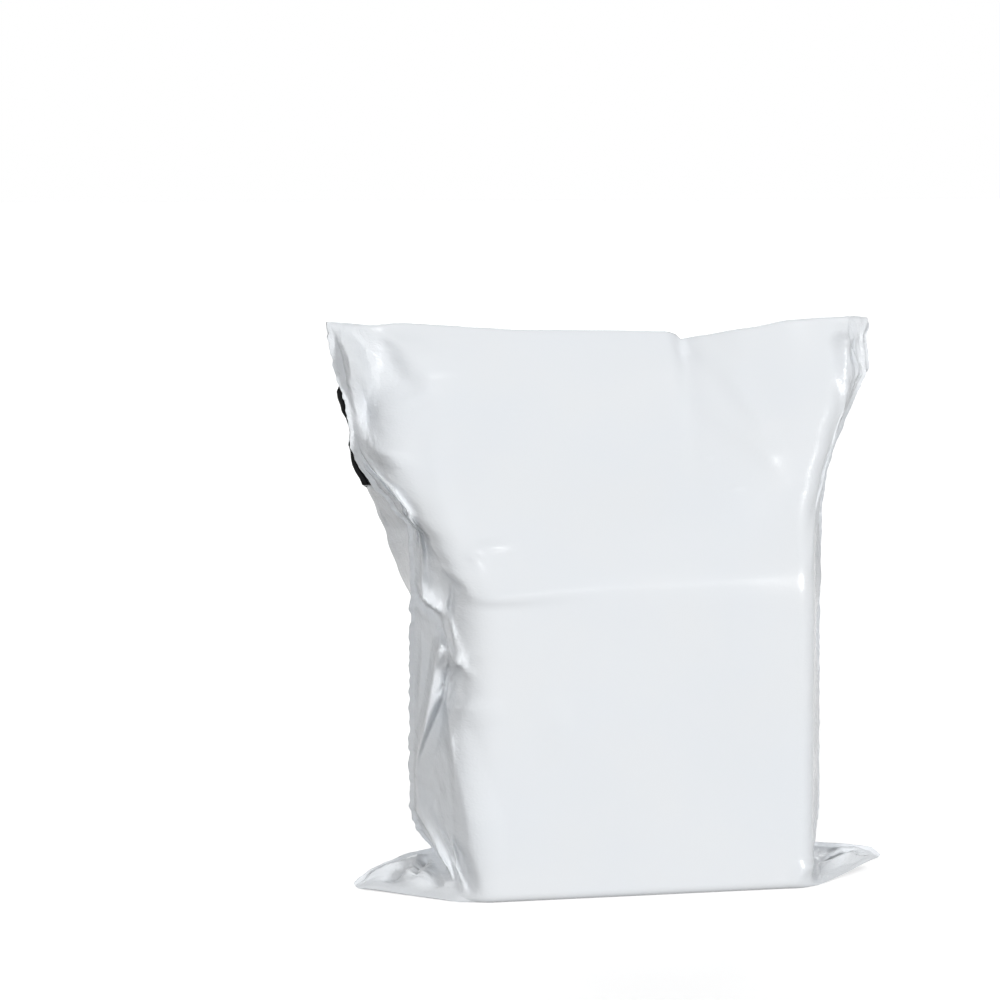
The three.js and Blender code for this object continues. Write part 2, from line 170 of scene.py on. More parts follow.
def fade(distance, length):
    """Share that rises from 0 to 1 over a length."""
    return np.clip(distance / length, 0, 1)


def round_corner(start, corner, end, share):
    """Points on the parabola that rounds a corner."""
    return (1 - share) ** 2 * start + 2 * share * (1 - share) * corner + share ** 2 * end


def row_places():
    """Zone and share of every row from the bottom fold to the top edge."""
    rows = [("foot", i / FOOT_ROWS) for i in range(FOOT_ROWS)]
    rows += [("foot_bend", i / FOOT_BEND_ROWS) for i in range(FOOT_BEND_ROWS + 1)]
    rows += [("side", i / SIDE_ROWS) for i in range(1, SIDE_ROWS)]
    rows += [("shoulder", i / SHOULDER_ROWS) for i in range(SHOULDER_ROWS + 1)]
    rows += [("upper", i / UPPER_ROWS) for i in range(1, UPPER_ROWS + 1)]
    return rows


def row_profile(zone, share):
    """Depth from the middle and height of a row at the pack's corner."""
    middle = np.array((EDGE_THICK / 2, 0.0))
    foot = np.array((PACK_DEEP, 0.0))
    shoulder = np.array((PACK_DEEP, PACK_TALL))
    top = np.array((MOUTH_THICK / 2, TOP_TALL))
    before_foot = foot - (FOOT_ROUND, 0)
    after_foot = foot + (0, FOOT_ROUND)
    before_shoulder = shoulder - (0, SHOULDER_ROUND)
    after_shoulder = shoulder + (top - shoulder) * SHOULDER_ROUND / SLOPE_LONG
    if zone == "foot":
        return middle + (before_foot - middle) * share
    if zone == "foot_bend":
        return round_corner(before_foot, foot, after_foot, share)
    if zone == "side":
        return after_foot + (before_shoulder - after_foot) * share
    if zone == "shoulder":
        return round_corner(before_shoulder, shoulder, after_shoulder, share)
    return after_shoulder + (top - after_shoulder) * share


def row_length(zone, depth, height):
    """Distance of a row from the bottom fold, measured along the film."""
    if zone == "foot":
        return depth
    if height <= PACK_TALL:
        return PACK_DEEP + height
    return PACK_DEEP + PACK_TALL + (height - PACK_TALL) * SLOPE_LONG / (TOP_TALL - PACK_TALL)


def ear_lift(reach, lift):
    """Height of an ear's underside at a reach past the pack."""
    return lift * fade(reach, SLACK) ** 2


def row_keys(zone, share, side, face):
    """Seam edge, root of the seal and pack corner of a row. Side is -1 left, 1 right."""
    if side < 0:
        seam, shoulder, (lift, ridge) = LEFT_SEAM, LEFT_SHOULDER, LEFT_EAR
    else:
        seam, shoulder, (lift, ridge) = RIGHT_SEAM, RIGHT_SHOULDER, RIGHT_EAR
    if side < 0 < face:
        shoulder = LEFT_BACK_SHOULDER
    depth, height = row_profile(zone, share)
    if zone.startswith("foot"):
        inward = depth / PACK_DEEP
        edge_reach = SLACK + (seam[0][1] - SLACK) * inward
        edge_height = follow(ridge, inward)
        corner_reach = (1 - inward) * (SLACK - EAR_TIP)
        corner_height = height + ear_lift(corner_reach, lift)
        upright = 0.0
    else:
        root_height = ridge[-1][1]
        rise = (height - FOOT_ROUND) / (TOP_TALL - FOOT_ROUND)
        edge_height = root_height + (TOP_TALL - root_height) * rise
        edge_reach = follow(seam, edge_height)
        corner_reach = follow(shoulder, height)
        corner_height = height
        upright = min((edge_height - root_height) / (2 * SEAL_WIDE), 1.0)
    edge = np.array((PACK_HALF + edge_reach, face * EDGE_THICK / 2, edge_height))
    corner = np.array((PACK_HALF + corner_reach, face * depth, corner_height))
    lean = SEAL_LEAN * (1 - upright)
    seal = min(SEAL_WIDE, SEAL_MOST * np.linalg.norm(edge - corner))
    root = edge - np.array((math.cos(lean), 0, math.sin(lean))) * seal
    mirror = np.array((side, 1, 1))
    return edge * mirror, root * mirror, corner * mirror


def side_points(keys, far_corner, rounding):
    """Points from the seam over the pack's corner, and their places on the film laid flat."""
    edge, root, corner = keys
    out = min(rounding / np.linalg.norm(corner - root), ROUNDING_MOST)
    start = corner + (root - corner) * out
    end = corner + (far_corner - corner) * rounding / np.linalg.norm(far_corner - corner)
    points = [edge + (root - edge) * i / SEAL_COLUMNS for i in range(SEAL_COLUMNS)]
    flat = [FLAT_HALF - SEAL_WIDE * i / SEAL_COLUMNS for i in range(SEAL_COLUMNS)]
    inner = FLAT_HALF - SEAL_WIDE
    outer_round = PACK_HALF + rounding * ROUNDING_FILM
    for i in range(SIDE_COLUMNS):
        points.append(root + (start - root) * i / SIDE_COLUMNS)
        flat.append(inner + (outer_round - inner) * i / SIDE_COLUMNS)
    for i in range(ROUND_COLUMNS + 1):
        share = i / ROUND_COLUMNS
        points.append(round_corner(start, corner, end, share))
        flat.append(outer_round - 2 * rounding * ROUNDING_FILM * share)
    return points, flat


def row_points(zone, share, face):
    """Points of one row from the left seam to the right seam, with flat places."""
    left = row_keys(zone, share, -1, face)
    right = row_keys(zone, share, 1, face)
    on_foot = zone == "foot"
    left_points, left_flat = side_points(left, right[2], FOOT_ROUND if on_foot else LEFT_ROUND)
    right_points, right_flat = side_points(right, left[2], FOOT_ROUND if on_foot else RIGHT_ROUND)
    start, end = left_points[-1], right_points[-1]
    front_points, front_flat = [], []
    for i in range(1, FRONT_COLUMNS):
        point = start + (end - start) * i / FRONT_COLUMNS
        if on_foot:
            lift = LEFT_EAR[0] if point[0] < 0 else RIGHT_EAR[0]
            point[2] = ear_lift(abs(point[0]) - PACK_HALF, lift)
        front_points.append(point)
        front_flat.append(-left_flat[-1] + (left_flat[-1] + right_flat[-1]) * i / FRONT_COLUMNS)
    points = left_points + front_points + right_points[::-1]
    flat = [-x for x in left_flat] + front_flat + right_flat[::-1]
    return points, flat


def plain_sheet(face):
    """Smooth sheet up to the top edge: points, and flat places across and up, by row."""
    points, across, up = [], [], []
    for zone, share in row_places():
        row, flat = row_points(zone, share, face)
        depth, height = row_profile(zone, share)
        points.append(row)
        across.append(flat)
        up.append([row_length(zone, depth, height)] * len(flat))
    return np.array(points), np.array(across), np.array(up)


def outward_normals(points, face):
    along_row = np.gradient(points, axis=1)
    along_column = np.gradient(points, axis=0)
    normals = np.cross(along_row, along_column) * -face
    return normals / np.maximum(np.linalg.norm(normals, axis=2, keepdims=True), 1e-9)


def bend_top(points):
    """Lets the film above the pack drop and lean towards the wavy top edge."""
    above = fade(points[..., 2] - PACK_TALL, TOP_TALL - PACK_TALL)
    bent = points.copy()
    bent[..., 2] -= follow(TOP_EDGE, points[..., 0], 1) * above ** 2
    bent[..., 1] += follow(TOP_EDGE, points[..., 0], 2) * above ** 6
    return bent


# Folds of the film. Each is a line of places on the film laid flat, across from the middle and up
# from the bottom fold, with its relief, then how far it spreads to the right and to the left of
# someone who walks along it.
TOP_LEFT_FOLDS = (
    (((-124, 303, 0), (-116, 300, 3), (-111, 293, 6.5), (-114, 284, 4.5), (-120, 276, 2),
      (-125, 268, 0)), 9, 17),
    (((-124.5, 302, -1), (-122, 293, -3.4), (-121.5, 284, -3.4), (-123.5, 274, -2.6),
      (-124, 266, 0)), 2.5, 5),
    (((-80, 311, -1), (-82, 304, -1.8), (-84, 296, -2.8), (-84, 289, -3), (-83, 284, -2.4),
      (-80, 282, -1.4), (-76, 284, 0)), 18, 5),
    (((-79.5, 310, 0.8), (-79, 303, 1.6), (-77.5, 295, 1.8), (-75.5, 288, 1),
      (-75, 284, 0.3)), 6, 15),
    (((-75, 285, 0.3), (-75.5, 280, 0.6), (-76.5, 275.5, 0.7), (-80, 273, 0.6),
      (-86, 273, 0)), 6, 4),
    (((-112, 290, 0), (-108, 281, -1.6), (-105, 273, -3.6), (-104, 265, -4), (-105, 257, -1.6),
      (-110, 249, 0)), 14, 22),
    (((-120, 256, 0), (-108, 253, 2), (-94, 250, 3), (-83, 249, 2.4), (-74, 251, 0)), 9, 7),
)
NECK_FOLDS = (
    (((-126, 252, -0.5), (-123, 245, -2.5), (-119, 240, -3.5), (-108, 233, -4), (-101, 224, -4),
      (-96, 219, -2)), 3, 10),
    (((-120, 247, 0), (-113, 242, 3), (-106, 237, 4), (-101, 232, 5), (-91, 227, 5.5),
      (-90, 219, 6), (-98, 212, 6), (-106, 205, 6), (-111, 196, 5), (-116, 186, 4.6),
      (-117, 179, 4.6), (-115, 173, 4), (-104, 171, 1.5)), 4, 5),
    (((-96, 224, 0), (-106, 217, 2.5), (-112, 210, 3), (-116, 200, 3), (-120, 192, 0)), 3, 3),
    (((-127, 245, -1), (-124, 236, -2.5), (-122, 226, -3), (-123, 214, -1.5),
      (-124, 206, 0)), 2.5, 3),
    (((-86, 193, 1.5), (-96, 188, 3), (-106, 181, 4.5), (-114, 175, 5.5)), 12, 14),
    (((-115, 174, 5), (-108, 171.5, 4.5), (-103, 170, 4), (-97, 168, 1.5)), 3, 12),
    (((-86, 188, 0), (-90, 181, -2), (-93, 172, -2.5), (-95, 165, 0)), 4, 5),
    (((-125, 178, 0), (-122, 171, -4), (-115, 167.5, -5.4), (-107, 167, -4),
      (-101, 166, 0)), 3.5, 4),
)
SIDE_FOLDS = (
    (((-97, 174, 0), (-92, 167, 2.2), (-89, 162, 2.6), (-87, 156, 2.8), (-86, 151, 2)), 3, 3),
    (((-102, 168, 0), (-100, 161, -4), (-96, 155.5, -4), (-92, 152, 0)), 5, 3),
    (((-102, 152, 4), (-99, 154.5, 4.2), (-93, 154, 4.2), (-86, 150, 2.6)), 8, 2.5),
    (((-86, 150, 2.6), (-89, 145, 3), (-93, 139, 3), (-95, 131, 2.6), (-98, 124, 0)), 7, 2.5),
    (((-103, 152, 4), (-105.5, 142, 6), (-109, 130, 7), (-114.5, 112, 7), (-121, 94, 5.6),
      (-123.5, 84, 4.4), (-126, 70, 1.5)), 6, 12),
    (((-84, 149.5, -0.5), (-90, 145, -3.6), (-96, 139, -5), (-98, 129, -5.2), (-104, 120, -4.4),
      (-112, 107, -3.2), (-118, 96, -1.8), (-122, 86, 0)), 5, 14),
    (((-98, 128, 0), (-92, 127, 2.6), (-84, 130, 2), (-72, 135, 0)), 10, 5),
    (((-96, 127, 2.6), (-91, 112, 4), (-87, 96, 3.6), (-83, 80, 2.6), (-81, 64, 0.8)), 7, 12),
    (((-119, 160, 0), (-117, 146, 2.2), (-119, 130, 2.4), (-121, 114, 0)), 4, 6),
    (((-107, 96, 0), (-102, 84, -2), (-108, 74, 0)), 7, 7),
)
FOOT_FOLDS = (
    (((-126, 69, 1), (-121, 68, 4), (-114, 63, 7.5), (-108, 57, 9), (-102, 50, 9),
      (-97, 43, 4)), 7, 13),
    (((-112, 72, 0.8), (-103, 67, 1.4), (-97, 62, 1.6), (-90, 53, 1.6), (-84, 43, 0.6)), 2.5, 2.5),
    (((-108, 60, 0), (-104, 53, 1.6), (-103, 46, 0)), 3, 3),
    (((-90, 68, 0), (-86, 60, -3.6), (-84, 52, -4), (-82, 44, 0)), 3.5, 5),
    (((-98, 70, 0), (-93, 66, 1.8), (-90, 60, 1.8), (-88, 54, 0)), 2.5, 3),
)
EAR_FOLDS = (
    (((-125, 34, 1), (-113, 30, 3.6), (-103, 25, 4.6), (-92, 22, 3), (-84, 20, 0)), 6, 4),
    (((-118, 40, 1), (-104, 31, 3.4), (-95, 27, 3), (-86, 25, 0)), 4, 4),
    (((-120, 37, -2), (-108, 28.5, -3), (-95, 24.5, -1)), 2.5, 2.5),
    (((-124, 31, 1), (-119, 21, 3), (-120, 11, 2.4), (-124, 5, 0)), 3, 7),
    (((-113, 19, 0), (-105, 17, -2), (-95, 12, 0)), 5, 5),
)
FRONT_FOLDS = (
    (((-86, 195, 0), (-84, 188, 1.2), (-81, 182, 1.4), (-75, 181, 1.4), (-63, 181.5, 1.3),
      (-50, 182, 0.9), (-23, 183.5, 0.3), (16, 184, 0.2), (54, 186, 0.2), (75, 188, 0)), 4, 7),
    (((-70, 206, 0), (-72, 200, 1.2), (-74, 193, 0)), 3, 3),
    (((-73, 204, 0), (-63, 205, 0.9), (-51, 206, 0)), 3, 4),
    (((-68, 266, 0), (-68, 253, 0.8), (-70, 240, 0.9), (-72, 222, 0.6), (-76, 203, 0)), 5, 7),
    (((-50, 140, 0), (-43, 125, 0.4), (-43, 106, 0)), 14, 8),
    (((27, 309, -0.8), (26, 302, -1.1), (28, 296, -0.5), (33, 290, 0)), 5, 5),
    (((30, 304, 0), (40, 286, 1.2), (52, 262, 1), (62, 240, 0)), 7, 7),
    (((22, 284, 0), (34, 270, 0.8), (41, 262, 0.9), (59, 245, 0.7), (70, 230, 0)), 7, 7),
    (((28, 300, 0), (14, 292, 0.3), (-6, 286, 0)), 9, 9),
    (((33, 248.5, 0), (35, 247, 0.5), (37.5, 246, 0)), 1.8, 1.8),
    (((45.5, 232, 0), (48, 231, 0.5), (50, 230, 0)), 1.8, 1.8),
)
RIGHT_FOLDS = (
    (((83, 309, 0.6), (81.5, 300, 1.6), (82, 285, 1.6), (85, 271, 1.4), (86, 257, 1.5),
      (88, 243, 1.6), (88, 229, 1.7), (85, 214, 1.4), (82, 200, 0.6), (81, 190, 0)), 3.5, 10),
    (((82, 300, 1), (98, 300.5, 1.5), (114, 300.5, 1.4), (126, 300, 0.6)), 4, 3.5),
    (((82, 299, 1), (95, 294, 1.6), (107, 288, 1.5), (124, 281, 0.6)), 5, 4),
    (((82, 298, 0.8), (85, 289, 1.2), (92, 279, 1), (106, 266, 0)), 5, 4),
    (((112, 262, 0), (116, 252, -2), (114, 240, -2.2), (110, 226, 0)), 8, 9),
    (((120, 250, 0), (112, 232, 2), (104, 212, 2.2), (98, 196, 0)), 8, 8),
    (((124, 222, 0), (114, 200, 2), (106, 178, 2.2), (100, 160, 0)), 9, 9),
    (((110, 150, 0), (118, 128, 2), (114, 102, 2.4), (104, 84, 0)), 9, 9),
    (((92, 140, 0), (98, 118, -1.8), (94, 96, 0)), 9, 9),
    (((120, 96, 0), (108, 78, 2.2), (94, 64, 2), (86, 52, 0)), 8, 8),
    (((74, 45, 0.6), (78, 52, 1), (92, 50, 1.6), (114, 40, 0.6)), 4, 5),
    (((108, 36, 0.8), (117, 25, 2.4), (123, 14, 1.6), (126, 9, 0)), 4, 3),
    (((98, 40, 0), (103, 28, 2.6), (101, 16, 2.8), (95, 8, 0)), 9, 3),
    (((84, 24, 0), (96, 22, 1.6), (110, 17, 2), (122, 12, 0.6)), 3, 5),
)
BACK_FOLDS = (
    (((-118, 262, 0), (-104, 232, 2.2), (-92, 206, 2.4), (-82, 186, 0.6)), 11, 7),
    (((-120, 226, 0), (-110, 206, -2.4), (-100, 190, 0)), 9, 9),
    (((-96, 164, 0), (-107, 140, 2.2), (-115, 112, 2.4), (-122, 88, 0)), 11, 8),
    (((-118, 170, 0), (-106, 158, -1.8), (-92, 152, 0)), 7, 7),
    (((-120, 74, 0), (-106, 64, 2.2), (-92, 54, 2), (-84, 44, 0)), 8, 7),
    (((118, 258, 0), (104, 230, 2.2), (94, 206, 2.2), (83, 186, 0.4)), 9, 10),
    (((122, 232, 0), (112, 214, -2.2), (102, 196, 0)), 9, 9),
    (((98, 160, 0), (108, 138, 2.2), (116, 110, 2.2), (122, 90, 0)), 8, 10),
    (((118, 72, 0), (104, 62, 2), (92, 52, 2), (84, 44, 0)), 7, 8),
    (((-88, 187, 0), (-74, 181.5, 1), (-40, 183, 0.5), (30, 184, 0.4), (74, 182, 0.9),
      (88, 187, 0)), 4, 6),
    (((-62, 258, 0), (-58, 236, 0.8), (-66, 212, 0)), 12, 9),
    (((52, 262, 0), (60, 240, 0.7), (56, 214, 0)), 10, 12),
    (((-20, 240, 0), (-4, 214, 0.6), (-10, 190, 0)), 14, 10),
)

# Soft swells of the film: place across and up, reach across and up, and height
FRONT_SWELLS = (
    (-100, 290, 11, 12, 1.0), (-88, 247, 10, 9, 1.6), (-62, 262, 16, 26, -0.6),
    (-60, 226, 14, 18, 0.5), (0, 250, 46, 34, -1.2), (60, 262, 18, 24, 0.9),
    (66, 214, 16, 18, -0.9), (6, 214, 30, 16, 0.7), (-24, 120, 40, 46, 0.5),
    (36, 86, 30, 36, -0.5), (-56, 74, 18, 28, 0.4), (52, 150, 22, 26, 0.4),
    (108, 184, 9, 12, 1.4), (104, 118, 10, 16, 1.2),
)
BACK_SWELLS = (
    (-104, 246, 10, 14, 1.5), (104, 246, 10, 14, 1.5), (-30, 236, 34, 30, -1.2),
    (34, 228, 30, 26, 0.9), (-108, 190, 9, 12, 1.6), (108, 188, 9, 12, 1.6),
    (-36, 118, 40, 44, 0.6), (34, 100, 34, 36, -0.5), (-104, 116, 9, 16, 1.4),
    (104, 112, 9, 16, 1.3),
)


def fold_relief(fold, across, up):
    """Relief of one fold over the film laid flat."""
    line, right_spread, left_spread = fold
    nearest = np.full(across.shape, np.inf)
    relief = np.zeros(across.shape)
    for start, end in zip(line, line[1:]):
        way = np.array(end[:2], float) - start[:2]
        here = across - start[0], up - start[1]
        share = np.clip((here[0] * way[0] + here[1] * way[1]) / (way @ way), 0, 1)
        off = here[0] - share * way[0], here[1] - share * way[1]
        spread = np.where(way[0] * here[1] > way[1] * here[0], left_spread, right_spread)
        distance = np.hypot(*off) / spread
        height = start[2] + share * (end[2] - start[2])
        relief = np.where(distance < nearest, height, relief)
        nearest = np.minimum(nearest, distance)
    flank = np.clip(1 - nearest, 0, 1)
    return relief * (0.8 * flank + 0.2 * flank * flank)


def swell_relief(swell, across, up):
    place_across, place_up, reach_across, reach_up, height = swell
    off = ((across - place_across) / reach_across) ** 2 + ((up - place_up) / reach_up) ** 2
    return height * np.exp(-off)


def crumple_folds(seed):
    """Short straight creases of the slack film at both sides."""
    chance = random.Random(seed)
    folds = []
    for _ in range(SMALL_FOLDS):
        side = chance.choice((-1, 1))
        across = side * chance.uniform(PACK_HALF + 5, FLAT_HALF - 3)
        up = chance.uniform(PACK_DEEP + 4, SHEET_LONG - 12)
        angle = math.radians(chance.uniform(20, 160))
        half = chance.uniform(5, 15)
        relief = chance.choice((-1, 1)) * chance.uniform(0.4, 1.1)
        way = math.cos(angle) * half, math.sin(angle) * half
        spread = chance.uniform(2.5, 7), chance.uniform(2.5, 7)
        start = across - way[0], up - way[1], 0
        end = across + way[0], up + way[1], 0
        line = (start, (across, up, relief), end)
        folds.append((line, *spread))
    return folds


def sheet_relief(folds, swells, across, up):
    """Relief of all folds and swells of a sheet, which fades out at its edges and on the foot."""
    reach = np.abs(across)
    below_top = up[-1, 0] - up
    relief = FOLD_DEPTH * sum(fold_relief(fold, across, up) for fold in folds)
    relief += sum(swell_relief(swell, across, up) for swell in swells)
    side = fade(reach - PACK_HALF + 3, 10)
    relief += sum(fold_relief(fold, across, up) for fold in crumple_folds(CREASE_SEED)) * side
    ear = fade(reach - PACK_HALF - 3, 8) * fade(up, 8)
    foot_fade = np.where(up < PACK_DEEP, ear, 1)
    relief *= fade(FLAT_HALF - reach, 6) * fade(below_top, 7) * foot_fade
    return relief


def crinkle_welds(points, across, up):
    """Moves the seam edges in and out along their height, in place."""
    places = up[:, 0]
    seed = CREASE_SEED
    near_seam = fade(np.abs(across) - FLAT_HALF + WELD_WIDE, WELD_WIDE)
    near_seam = near_seam * np.where(across < 0, 1, RIGHT_WELD_SHARE)
    shake = np.array([noise.noise(Vector((place / SHAKE_WAVE, seed, 0.5))) for place in places])
    jolt = np.array([noise.noise(Vector((place / JOLT_WAVE, 0.5, seed))) for place in places])
    moved = near_seam * (fade(up - PACK_DEEP, 12) * fade(places[-1] - up, 4))
    points[..., 0] += moved * (SHAKE_ACROSS * shake[:, None] + JOLT_ACROSS * jolt[:, None])
    points[..., 1] += moved * JOLT_AHEAD * jolt[:, None]


def creased_sheet(face, folds, swells):
    """A sheet up to the top edge with its folds, and its flat places."""
    points, across, up = plain_sheet(face)
    relief = sheet_relief(folds, swells, across, up)
    outward = np.zeros(points.shape)
    outward[..., 0] = OUT_SIDEWAYS * np.clip(across / PACK_HALF, -1, 1)
    outward[..., 1] = OUT_AHEAD * face
    on_foot = up < PACK_DEEP
    way = np.where(on_foot[..., None], outward_normals(points, face), outward)
    least_depth = np.minimum(face * points[..., 1], SHEET_APART)
    points = points + way * relief[..., None]
    apart = face * np.maximum(face * points[..., 1], least_depth)
    points[..., 1] = np.where(on_foot, points[..., 1], apart)
    crinkle_welds(points, across, up)
    points[..., 2] = np.maximum(points[..., 2], 0)
    return bend_top(points), across, up


def fold_over(front, back):
    """Rows of the top fold, which turns both sheets over to the back."""
    outer, inner = [], []
    for i in range(1, FOLD_ROWS):
        angle = math.pi * i / FOLD_ROWS
        turn = np.array((0, 1 - math.cos(angle), math.sin(angle)))
        outer.append(front[-1] + turn * FOLD_RADIUS)
        inner.append(back[-1] + turn * FLAP_GAP / 2)
    return outer, inner


# How far the folded flap reaches past the seams: distance down the flap, then left and right
FLAP_SIDES = (
    (0, 0, 0.4), (3, 0, 2.2), (25, -0.5, 2.2), (28, -0.5, 0.5), (31, -0.5, -0.5), (34, 2.2, -0.5),
    (38, 2.5, -1), (44, 1.8, -1), (50, 0, -1), (58, -0.3, -1), (62, 0.4, -1), (69, 1.6, -1),
    (75, 3.4, -1), (84, 4.2, -1),
)


def hang_flap(back, across):
    """Rows of the folded mouth and the lip, which lie close behind the back sheet."""
    top = len(back) - 1
    columns = back.shape[1]
    full = FLAP_GAP + MOUTH_THICK
    outward = np.array((0, TOP_TALL - PACK_TALL, PACK_DEEP)) / SLOPE_LONG
    near_left = np.clip(1 - np.arange(columns) / FLAP_END_COLUMNS, 0, 1)
    near_right = near_left[::-1]
    beside_pack = fade(np.abs(across) - PACK_HALF - 4, 8) * fade(FLAT_HALF - np.abs(across), 8)
    sideways = np.outer(np.sign(across) * beside_pack, (FLAP_LEAN, 0, 0))
    outer, inner = [], []
    steps = [(MOUTH_LONG * i / MOUTH_ROWS, MOUTH_THICK) for i in range(MOUTH_ROWS + 1)]
    steps += [
        (MOUTH_LONG + LIP_STEP + LIP_LONG * i / LIP_ROWS, LIP_THICK) for i in range(LIP_ROWS + 1)
    ]
    for distance, thickness in steps:
        place = max(top - distance / (SLOPE_LONG - SHOULDER_ROUND) * UPPER_ROWS, 0)
        lower = min(int(place), top - 1)
        row = back[lower] + (back[lower + 1] - back[lower]) * (place - lower)
        turned = min(distance / MOUTH_LONG, 1)
        way = np.array((0, 1.0, 0)) * (1 - turned) + outward * turned
        way = way / np.linalg.norm(way) + sideways * turned
        row[:, 0] -= near_left * follow(FLAP_SIDES, distance, 1)
        row[:, 0] += near_right * follow(FLAP_SIDES, distance, 2)
        outer.append(row + way * full)
        inner.append(row + way * (full - thickness))
    return outer, inner


def bag_sheets():
    """Outer and inner sheet of the bag by row and column, and their flat places."""
    front_folds = (
        TOP_LEFT_FOLDS + NECK_FOLDS + SIDE_FOLDS + FOOT_FOLDS + EAR_FOLDS
        + FRONT_FOLDS + RIGHT_FOLDS
    )
    front, across, up = creased_sheet(-1, front_folds, FRONT_SWELLS)
    back, _, _ = creased_sheet(1, BACK_FOLDS, BACK_SWELLS)
    fold_outer, fold_inner = fold_over(front, back)
    flap_outer, flap_inner = hang_flap(back, across[-1])
    outer = np.concatenate([front, fold_outer, flap_outer])
    inner = np.concatenate([back, fold_inner, flap_inner])
    return outer, inner, across, up


def make_bag():
    """The bag as one closed mesh of two sheets joined along the seams, the bottom and the lip."""
    outer, inner, across, up = bag_sheets()
    rows, columns, _ = outer.shape
    shape = bmesh.new()
    for level in (0, 1):
        bmesh.ops.create_grid(
            shape, x_segments=columns - 1, y_segments=rows - 1, size=1,
            matrix=Matrix.Translation((0, 0, level / columns)),
        )
    inner_faces = [face for face in shape.faces if face.verts[0].co.z > 0]
    bmesh.ops.reverse_faces(shape, faces=inner_faces)
    rims = [edge for edge in shape.edges if edge.is_boundary]
    bmesh.ops.bridge_loops(shape, edges=rims)
    for edge in rims:
        edge.smooth = False
    for face in shape.faces:
        face.smooth = True
    mesh = bpy.data.meshes.new("film_bag")
    shape.to_mesh(mesh)
    shape.free()
    flat = np.empty(len(mesh.vertices) * 3)
    mesh.vertices.foreach_get("co", flat)
    flat = flat.reshape(-1, 3)
    column = np.rint((flat[:, 0] + 1) / 2 * (columns - 1)).astype(int)
    row = np.rint((flat[:, 1] + 1) / 2 * (rows - 1)).astype(int)
    on_inner = flat[:, 2] > 0
    points = np.where(on_inner[:, None], inner[row, column], outer[row, column])
    points[:, 0] += PACK_MIDDLE
    mesh.vertices.foreach_set("co", (points / METRE).ravel())
    mesh.update()
    past_top = np.arange(1, rows - len(up) + 1) * FLAP_ROW_SPACING
    places_up = np.concatenate([up[:, 0], up[-1, 0] + past_top])
    flat_across = across[np.minimum(row, len(up) - 1), column]
    flat_up = np.where(on_inner, -places_up[row], places_up[row])
    corners = np.empty(len(mesh.loops), int)
    mesh.loops.foreach_get("vertex_index", corners)
    film_map = mesh.uv_layers.new(name="flat_film")
    film_map.uv.foreach_set("vector", np.stack([flat_across, flat_up], 1)[corners].ravel() / METRE)
    slack = fade(np.abs(flat_across) - SLACK_START, SLACK_WIDE) * SLACK_BUMP + PACK_BUMP
    attribute = mesh.attributes.new("slack_film", "FLOAT", "POINT")
    attribute.data.foreach_set("value", slack)
    return mesh, row, on_inner, across


mesh, row, on_inner, across = make_bag()
bag = bpy.data.objects.new("film_bag", mesh)
bpy.context.scene.collection.objects.link(bag)
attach(bag, "root")
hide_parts("mailer_bag")


def principled(material):
    material.use_nodes = True
    return material.node_tree.nodes["Principled BSDF"], material.node_tree


def white_film():
    """Glossy white polyethylene film with faint cloudiness, fine waves and grain."""
    material = bpy.data.materials.new("white_film")
    shader, tree = principled(material)
    nodes, links = tree.nodes, tree.links
    flat = nodes.new("ShaderNodeUVMap")
    flat.uv_map = "flat_film"

    def noise_field(scale, detail, roughness=0.5):
        field = nodes.new("ShaderNodeTexNoise")
        field.inputs["Scale"].default_value = scale
        field.inputs["Detail"].default_value = detail
        field.inputs["Roughness"].default_value = roughness
        links.new(flat.outputs["UV"], field.inputs["Vector"])
        return field.outputs["Fac"]

    def ramp(value, low, high):
        change = nodes.new("ShaderNodeValToRGB")
        change.color_ramp.interpolation = "EASE"
        change.color_ramp.elements[0].position = 0.15
        change.color_ramp.elements[0].color = low
        change.color_ramp.elements[1].position = 0.85
        change.color_ramp.elements[1].color = high
        links.new(value, change.inputs["Fac"])
        return change.outputs["Color"]

    cloudiness = ramp(noise_field(17, 3), (0.755, 0.785, 0.82, 1), (0.775, 0.795, 0.815, 1))
    links.new(cloudiness, shader.inputs["Base Color"])
    shader.inputs["Roughness"].default_value = 0.25
    slack = nodes.new("ShaderNodeAttribute")
    slack.attribute_name = "slack_film"
    waves = nodes.new("ShaderNodeBump")
    waves.inputs["Distance"].default_value = 0.0012
    links.new(noise_field(150, 2, 0.6), waves.inputs["Height"])
    links.new(slack.outputs["Fac"], waves.inputs["Strength"])
    grain = nodes.new("ShaderNodeBump")
    grain.inputs["Distance"].default_value = 0.0005
    links.new(noise_field(1100, 2), grain.inputs["Height"])
    links.new(slack.outputs["Fac"], grain.inputs["Strength"])
    links.new(waves.outputs["Normal"], grain.inputs["Normal"])
    links.new(grain.outputs["Normal"], shader.inputs["Normal"])
    return material


def black_film():
    """Matt black inner side of the film."""
    material = bpy.data.materials.new("black_inner_film")
    shader, _ = principled(material)
    shader.inputs["Base Color"].default_value = (0.004, 0.004, 0.005, 1)
    shader.inputs["Roughness"].default_value = 0.5
    shader.inputs["Specular IOR Level"].default_value = 0.25
    return material


mesh.materials.append(white_film())
mesh.materials.append(black_film())
lip_start = len(across) + FOLD_ROWS - 1 + MOUTH_ROWS + 1
black = on_inner & (row >= lip_start)
for face in mesh.polygons:
    if all(black[vertex] for vertex in face.vertices):
        face.material_index = 1


